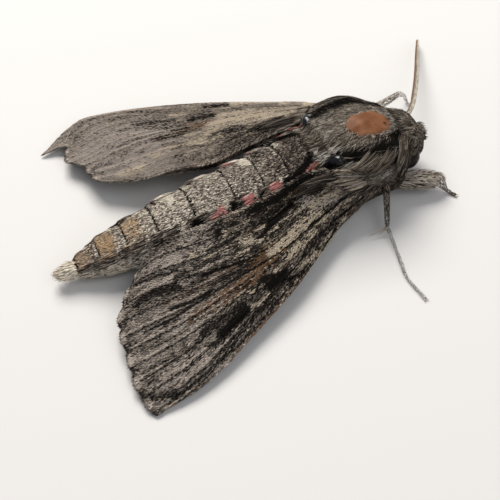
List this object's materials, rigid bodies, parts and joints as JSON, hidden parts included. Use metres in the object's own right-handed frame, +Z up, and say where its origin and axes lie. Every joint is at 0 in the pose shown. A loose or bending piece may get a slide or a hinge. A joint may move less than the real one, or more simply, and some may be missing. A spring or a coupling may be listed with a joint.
{
  "type": "hawk moth model",
  "caption": "Still, life-size hawk moth at rest: furry thorax with a worn bare patch, banded abdomen, wings swept back like a low roof, slim legs and feelers.",
  "frame": {"origin": "middle of the bounding box at floor level", "axes": "+X towards the head, +Y to the animal's left, +Z up"},
  "size_m": [0.062, 0.0458, 0.0108],
  "materials": {
    "coat": "matt hair-like scales in grey and tan, with one bare glossy patch of tan horn on the back",
    "ring": "matt scales speckled cream, grey and brown",
    "tuft": "matt pale brush of scales",
    "wing": "matt scales in streaks of grey, brown and ochre",
    "hindwing": "matt grey-brown scales",
    "eye": "glossy, nearly black",
    "leg": "matt brown-grey scales",
    "feeler": "matt, ringed, tan-grey"
  },
  "bodies": {
    "root": {"abdomen_1": "ring", "abdomen_2": "ring", "abdomen_3": "ring", "abdomen_4": "ring", "abdomen_5": "ring", "abdomen_6": "ring", "abdomen_7": "ring", "abdomen_8": "ring", "antenna_left": "feeler", "antenna_right": "feeler", "eye_left": "eye", "eye_right": "eye", "foreleg_left_femur": "leg", "foreleg_left_tarsus": "leg", "foreleg_left_tibia": "leg", "foreleg_right_femur": "leg", "foreleg_right_tarsus": "leg", "foreleg_right_tibia": "leg", "forewing_left": "wing", "forewing_right": "wing", "head": "coat", "hindleg_left_femur": "leg", "hindleg_left_tarsus": "leg", "hindleg_left_tibia": "leg", "hindleg_right_femur": "leg", "hindleg_right_tarsus": "leg", "hindleg_right_tibia": "leg", "hindwing_left": "hindwing", "hindwing_right": "hindwing", "midleg_left_femur": "leg", "midleg_left_tarsus": "leg", "midleg_left_tibia": "leg", "midleg_right_femur": "leg", "midleg_right_tarsus": "leg", "midleg_right_tibia": "leg", "palp_left": "coat", "palp_right": "coat", "tail_tuft": "tuft", "thorax": "coat"}
  },
  "joints": []
}
